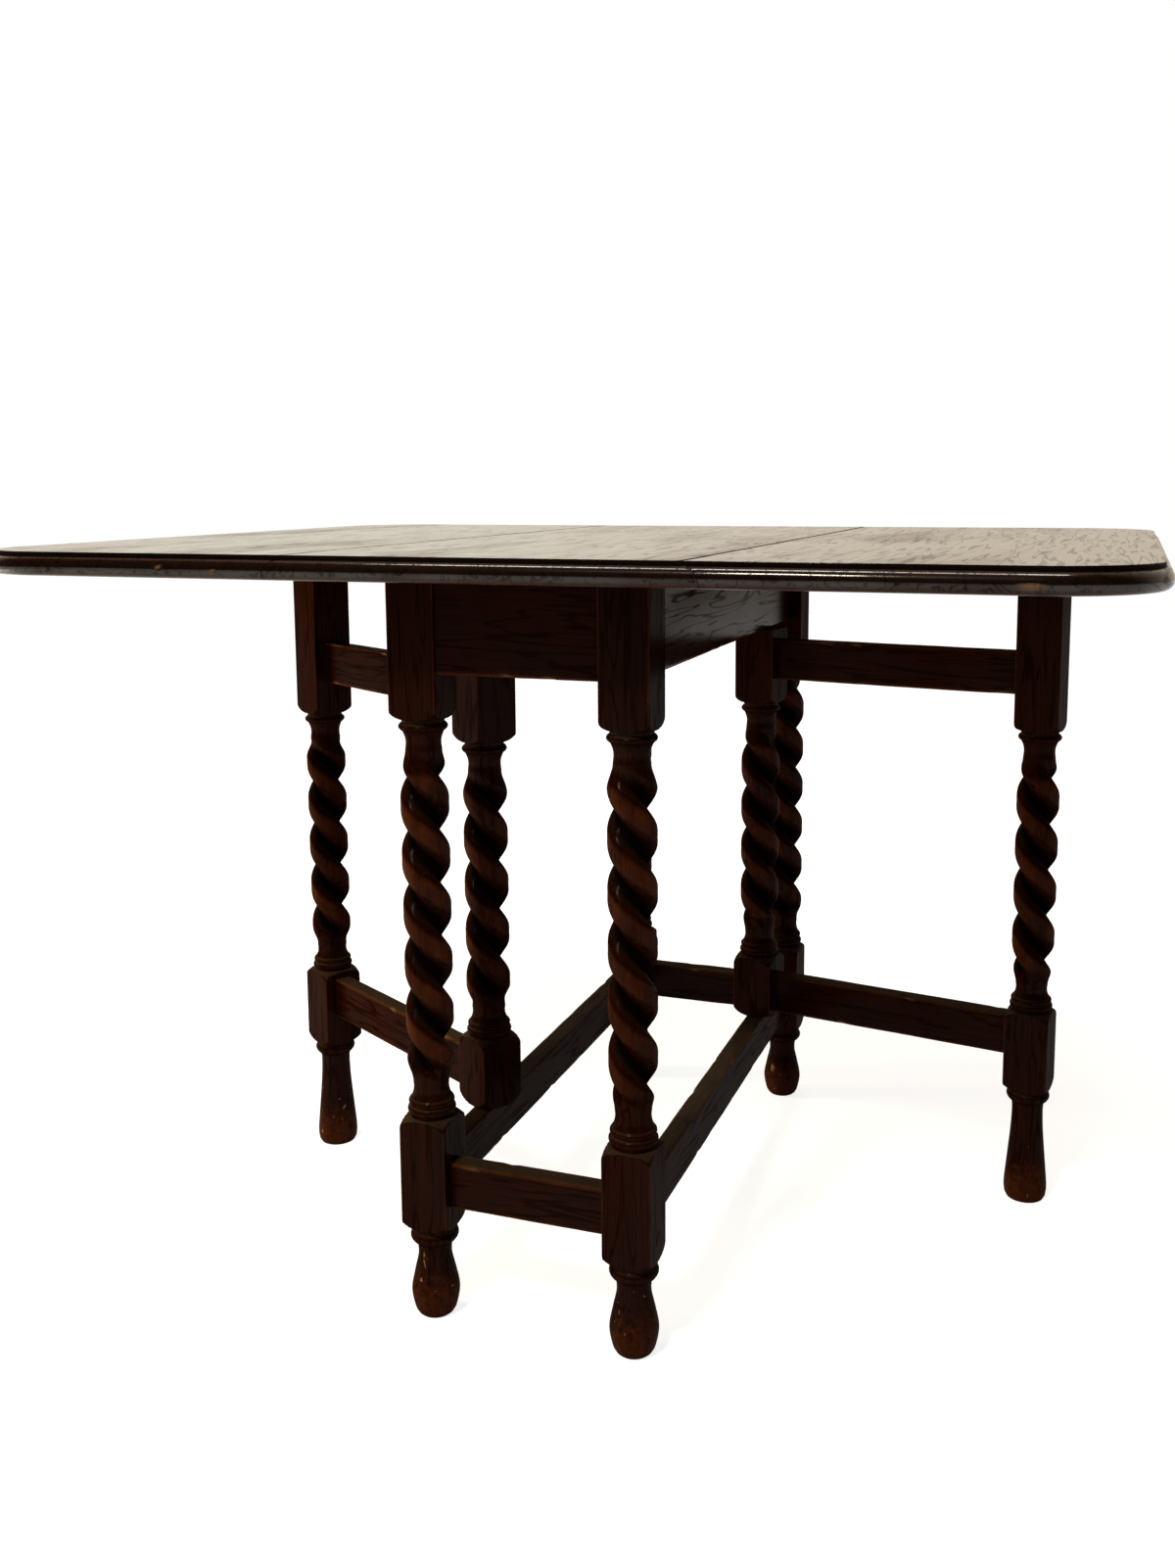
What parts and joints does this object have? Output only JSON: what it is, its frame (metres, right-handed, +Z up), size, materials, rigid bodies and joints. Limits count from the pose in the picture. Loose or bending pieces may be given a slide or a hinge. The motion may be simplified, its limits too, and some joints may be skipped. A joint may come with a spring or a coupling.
{
  "type": "gateleg drop-leaf table",
  "caption": "Dark oak gateleg dining table with barley-twist legs, hinged drop leaves on rule joints and swinging gates that hold the leaves up.",
  "frame": {"origin": "on the floor under the middle of the open top", "axes": "+X across the leaves towards the right leaf, +Y along the frame away from the pictured end, +Z up"},
  "size_m": [1.08, 0.836, 0.74],
  "materials": {
    "top_oak": "polished dark-stained oak",
    "frame_oak": "polished dark-stained oak, worn on edges",
    "inner_wood": "rough unpolished wood",
    "pivot_oak": "plain oak dowel",
    "hinge_steel": "dulled steel",
    "pin_steel": "plain steel",
    "screw_steel": "plain steel"
  },
  "bodies": {
    "frame": {"centre_top_board": "top_oak", "leg_near_left": "frame_oak", "leg_near_right": "frame_oak", "leg_far_left": "frame_oak", "leg_far_right": "frame_oak", "end_apron_near": "frame_oak", "end_apron_far": "frame_oak", "end_stretcher_near": "frame_oak", "end_stretcher_far": "frame_oak", "side_apron_left": "frame_oak", "side_apron_right": "frame_oak", "side_stretcher_left": "frame_oak", "side_stretcher_right": "frame_oak", "glue_blocks": "inner_wood", "top_fixing_screws": "screw_steel", "left_hinge_top_flaps": "hinge_steel", "left_hinge_pins": "pin_steel", "left_hinge_top_screws": "screw_steel", "right_hinge_top_flaps": "hinge_steel", "right_hinge_pins": "pin_steel", "right_hinge_top_screws": "screw_steel"},
    "left_leaf": {"left_leaf": "top_oak", "left_hinge_leaf_flaps": "hinge_steel", "left_hinge_leaf_screws": "screw_steel", "left_gate_stop": "inner_wood", "left_gate_stop_screws": "screw_steel"},
    "left_gate": {"left_gate_stile": "frame_oak", "left_gate_leg": "frame_oak", "left_gate_upper_rail": "frame_oak", "left_gate_lower_rail": "frame_oak", "left_gate_pivot_pins": "pivot_oak"},
    "right_leaf": {"right_leaf": "top_oak", "right_hinge_leaf_flaps": "hinge_steel", "right_hinge_leaf_screws": "screw_steel", "right_gate_stop": "inner_wood", "right_gate_stop_screws": "screw_steel"},
    "right_gate": {"right_gate_stile": "frame_oak", "right_gate_leg": "frame_oak", "right_gate_upper_rail": "frame_oak", "right_gate_lower_rail": "frame_oak", "right_gate_pivot_pins": "pivot_oak"}
  },
  "joints": [
    {"name": "left_gate_swing", "type": "hinge", "parent": "frame", "child": "left_gate", "pos_m": [-0.102, -0.17, 0.4], "axis": [0, 0, 1], "range_deg": [-53, 25.5]},
    {"name": "right_gate_swing", "type": "hinge", "parent": "frame", "child": "right_gate", "pos_m": [0.102, 0.17, 0.4], "axis": [0, 0, 1], "range_deg": [-74, 4.5]},
    {"name": "left_leaf_lift", "type": "hinge", "parent": "frame", "child": "left_leaf", "pos_m": [-0.18, 0, 0.721], "axis": [0, 1, 0], "range_deg": [0, 1.5]},
    {"name": "right_leaf_lift", "type": "hinge", "parent": "frame", "child": "right_leaf", "pos_m": [0.18, 0, 0.721], "axis": [0, -1, 0], "range_deg": [0, 1.5]}
  ]
}
